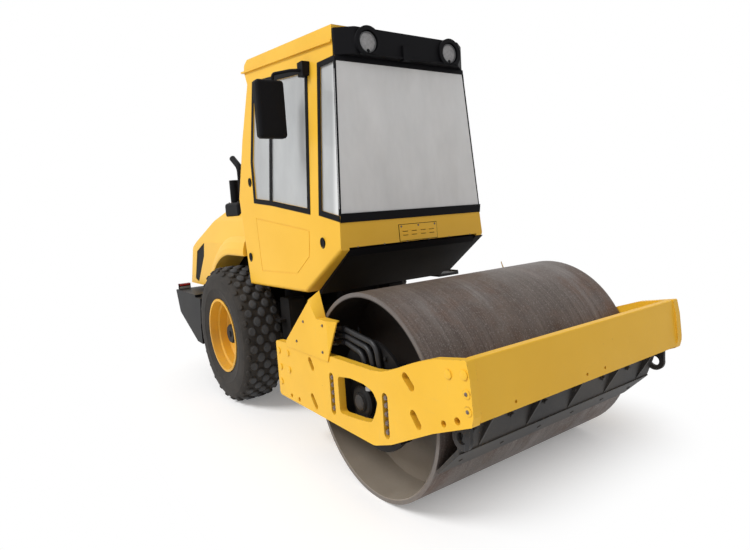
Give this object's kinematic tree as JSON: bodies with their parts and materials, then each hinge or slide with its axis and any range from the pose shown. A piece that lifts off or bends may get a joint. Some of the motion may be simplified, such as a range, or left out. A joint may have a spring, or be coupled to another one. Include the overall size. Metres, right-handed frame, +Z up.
{
  "type": "single-drum road roller",
  "caption": "Articulated single-drum road roller with a closed cab, a steel drum in a frame and two treaded rubber tyres.",
  "frame": {"origin": "on the ground, below the centre of the bounding box", "axes": "+X forward, from the engine hood to the drum, +Y to the machine's left, +Z up"},
  "size_m": [4.659, 1.872, 2.9605],
  "materials": {
    "yellow_paint": "gloss",
    "black_paint": "satin",
    "drum_steel": "worn",
    "chrome": "polished",
    "black_plastic": "matte",
    "lamp_lens": "clear",
    "hose_rubber": "matte",
    "glass": "clear",
    "tyre": "dusty"
  },
  "bodies": {
    "tractor": {"rear_frame": "black_paint", "rear_axle": "black_paint", "counterweight": "black_paint", "side_tanks": "black_paint", "entry_step": "black_paint", "engine_block": "black_paint", "radiator": "black_paint", "cylinder_barrels": "black_paint", "cab_shell": "yellow_paint", "roof": "yellow_paint", "cab_floor": "black_plastic", "cab_nose": "black_plastic", "visor": "black_plastic", "console": "black_plastic", "seat": "black_plastic", "steering_wheel": "black_plastic", "lamps": "lamp_lens", "cab_glass": "glass", "window_trim": "black_plastic", "mirror_right": "black_plastic"},
    "door_left": {"door_left": "yellow_paint", "door_glass_left": "glass", "door_trim_left": "black_plastic", "mirror_left": "black_plastic"},
    "hood": {"hood": "yellow_paint", "grilles": "black_plastic", "exhaust": "black_plastic"},
    "wheel_right": {"tyre_right": "tyre", "rim_right": "yellow_paint", "hub_cap_right": "black_paint"},
    "wheel_left": {"tyre_left": "tyre", "rim_left": "yellow_paint", "hub_cap_left": "black_paint"},
    "link": {"centre_joint": "black_paint"},
    "drum_frame": {"side_plates": "yellow_paint", "front_beam": "yellow_paint", "hose_guards": "yellow_paint", "rear_crossbeam": "yellow_paint", "drum_carriers": "black_paint", "drum_hoses": "hose_rubber", "scrapers": "black_paint", "lashing_eyes": "black_paint"},
    "drum": {"drum_shell": "drum_steel"},
    "steer_rod_right": {"cylinder_rod_right": "chrome"},
    "steer_rod_left": {"cylinder_rod_left": "chrome"}
  },
  "joints": [
    {"name": "steer", "type": "hinge", "parent": "tractor", "child": "link", "pos_m": [0.217, 0, 0.61], "axis": [0, 0, 1], "range_deg": [-35, 35]},
    {"name": "oscillate", "type": "hinge", "parent": "link", "child": "drum_frame", "pos_m": [0.34, 0, 0.61], "axis": [1, 0, 0], "range_deg": [-12, 12]},
    {"name": "drum_roll", "type": "hinge", "parent": "drum_frame", "child": "drum", "pos_m": [1.417, 0, 0.61], "axis": [0, 1, 0], "continuous": true},
    {"name": "wheel_right_roll", "type": "hinge", "parent": "tractor", "child": "wheel_right", "pos_m": [-0.883, -0.721, 0.6225], "axis": [0, 1, 0], "continuous": true},
    {"name": "wheel_left_roll", "type": "hinge", "parent": "tractor", "child": "wheel_left", "pos_m": [-0.883, 0.721, 0.6225], "axis": [0, 1, 0], "continuous": true},
    {"name": "door_left_swing", "type": "hinge", "parent": "tractor", "child": "door_left", "pos_m": [-0.43, 0.7484, 1.346], "axis": [0, -0.0734, 0.9973], "range_deg": [0, 75]},
    {"name": "hood_lift", "type": "hinge", "parent": "tractor", "child": "hood", "pos_m": [-2.3, 0, 0.97], "axis": [0, -1, 0], "range_deg": [0, 50]},
    {"name": "steer_rod_right_slide", "type": "slide", "parent": "tractor", "child": "steer_rod_right", "axis": [1, 0, 0], "range_m": [-0.1, 0.1]},
    {"name": "steer_rod_left_slide", "type": "slide", "parent": "tractor", "child": "steer_rod_left", "axis": [1, 0, 0], "range_m": [-0.1, 0.1]}
  ],
  "couplings": [
    {"joint": "steer_rod_right_slide", "follows": "steer", "m_per_rad": 0.16},
    {"joint": "steer_rod_left_slide", "follows": "steer", "m_per_rad": -0.16}
  ]
}
